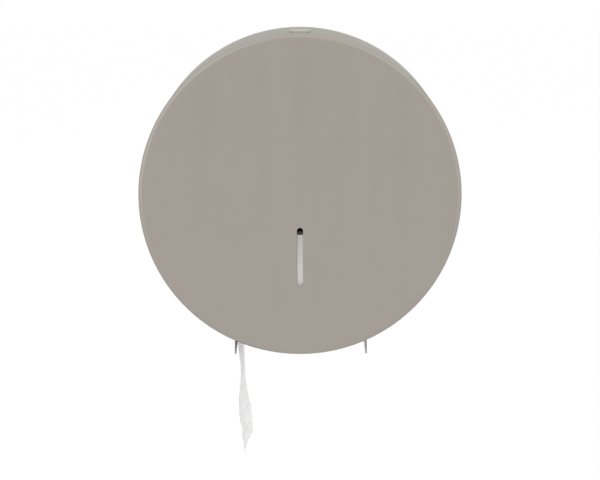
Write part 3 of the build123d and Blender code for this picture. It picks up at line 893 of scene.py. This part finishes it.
# %% Drift of the two edges
# Each pair is a height in millimetres, in the frame, and how far the edge is from the bend's end.
FRONT_EDGE = [
    (-134, 0.0), (-140, -1.7), (-146, -2.2), (-153, -1.7), (-160, -0.8), (-168, 0.1), (-180, 0.5),
    (-187, -0.9), (-200, -1.8), (-212, -1.9), (-218, -1.3), (-224, -0.7), (-231, 1.3), (-241, 1.4),
    (-244, 2.7), (-250, 3.0), (-262, 4.4),
]
REAR_EDGE = [
    (-134, 0.0), (-150, 0.6), (-169, 1.1), (-180, 1.2), (-191, 1.7), (-203, 2.0), (-212, 3.2),
    (-223, 5.3), (-232, 7.9), (-254, 9.2), (-262, 10.2),
]
BOW = -0.8 * MM  # the sheet's middle bends this far to the left of its edges
CURL = 1.6  # towards its lower end, the drift gathers in a curl at the rear edge
CURL_TOP = -195 * MM
CURL_HEIGHT = 45 * MM
SETTLE_HEIGHT = 30 * MM  # bow and crinkle grow from nothing over this height
CRINKLE = 0.35 * MM
CRINKLE_ACROSS = 7
CRINKLE_DOWN = 60  # lumps a metre
CRINKLE_SLICE = 1.3  # any slice of the noise, but another than the tear's


def read_between(pairs, height):
    """The value at a height, eased from each pair to the next."""
    if height >= pairs[0][0]:
        return pairs[0][1]
    for (top, start), (bottom, end) in zip(pairs, pairs[1:]):
        if height >= bottom:
            share = (top - height) / (top - bottom)
            share = share * share * (3 - 2 * share)
            return start + (end - start) * share
    return pairs[-1][1]


# %% The torn end
FRONT_END = -258.0 * MM
REAR_END = -259.6 * MM
TOOTH = 1.1 * MM  # the little points that the perforation leaves
TOOTH_COUNT = 23
TEAR_LUMPS = 9  # across the sheet
TEAR_SLICE = 3.7


def torn_height(across):
    """Where the sheet ends, from its front edge (0) to its rear edge (1)."""
    line = FRONT_END + (REAR_END - FRONT_END) * across
    point = abs((across * TOOTH_COUNT) % 1 - 0.5) * 2
    waver = noise.noise(Vector((across * TEAR_LUMPS, TEAR_SLICE, 0)))
    return line + TOOTH * (point - 0.5) + TOOTH * waver


# %% The paper's path
def led_point(travel):
    """A point (x, z) on the paper's way from the roll to the end of its bend."""
    wrap_length = wrap_radius * (WRAP[1] - WRAP[0])
    if travel < wrap_length:
        angle = WRAP[0] + travel / wrap_radius
        return Vector((wrap_radius * math.cos(angle), roll_axis + wrap_radius * math.sin(angle)))
    travel -= wrap_length
    if travel < straight_length:
        return wrap_end + slant * travel
    angle = turn - (travel - straight_length) / BEND_RADIUS
    return bend_centre + BEND_RADIUS * Vector((math.cos(angle), math.sin(angle)))


def hanging_point(across, share):
    """A point (x, z) on the hanging paper, from its bend (0) to its torn end (1)."""
    height = hang_height + (torn_height(across) - hang_height) * share
    front = read_between(FRONT_EDGE, height / MM) * MM
    rear = read_between(REAR_EDGE, height / MM) * MM
    drop = min((hang_height - height) / SETTLE_HEIGHT, 1.0)
    bow = BOW * 4 * across * (1 - across) * drop
    curl = min(max((CURL_TOP - height) / CURL_HEIGHT, 0.0), 1.0)
    lean = across ** (1 + CURL * curl)
    crinkle = CRINKLE * drop * noise.noise(
        Vector((across * CRINKLE_ACROSS, height * CRINKLE_DOWN, CRINKLE_SLICE))
    )
    return Vector((HANG_PLACE + front + (rear - front) * lean + bow + crinkle, height))


# %% Build the sheet
def build_tail():
    """The sheet as a grid of points, and a map of each point's place on the flat paper."""
    led_rows = round(led_length / ROW_STEP)
    hang_rows = round((hang_height - REAR_END) / ROW_STEP)
    points, faces, places = [], [], []
    for row in range(led_rows + hang_rows + 1):
        for column in range(COLUMNS + 1):
            across = column / COLUMNS
            if row <= led_rows:
                travel = led_length * row / led_rows
                x, z = led_point(travel)
            else:
                share = (row - led_rows) / hang_rows
                x, z = hanging_point(across, share)
                travel = led_length + hang_height - z
            points.append((x, roll_low.y + PAPER_WIDTH * across, z))
            places.append((PAPER_WIDTH * across, travel))
    wide = COLUMNS + 1
    for row in range(led_rows + hang_rows):
        for column in range(COLUMNS):
            corner = row * wide + column
            faces.append((corner, corner + 1, corner + wide + 1, corner + wide))
    mesh = bpy.data.meshes.new("loose_end")
    mesh.from_pydata(points, [], faces)
    own_map = mesh.uv_layers.new(name="sheet")
    for loop in mesh.loops:
        own_map.data[loop.index].uv = places[loop.vertex_index]
    sheet = bpy.data.objects.new("loose_end", mesh)
    bpy.context.collection.objects.link(sheet)
    return sheet


# %% Hang the sheet
PAPER_SMOOTH_ANGLE = math.radians(40)

tail = build_tail()
apply_modifier(tail, "SOLIDIFY", thickness=PAPER_THICKNESS, offset=0)
only(tail)
bpy.ops.object.shade_smooth_by_angle(angle=PAPER_SMOOTH_ANGLE)
hand_over(tail, "wall_unit", "tissue", loose_tissue, "paper_tail")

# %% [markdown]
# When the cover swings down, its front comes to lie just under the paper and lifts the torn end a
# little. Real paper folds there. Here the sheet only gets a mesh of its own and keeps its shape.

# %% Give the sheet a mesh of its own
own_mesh(tail)

# %% [markdown]
# ## Finish
#
# At the end, no piece is left selected.

# %% Finish
bpy.ops.object.select_all(action="DESELECT")
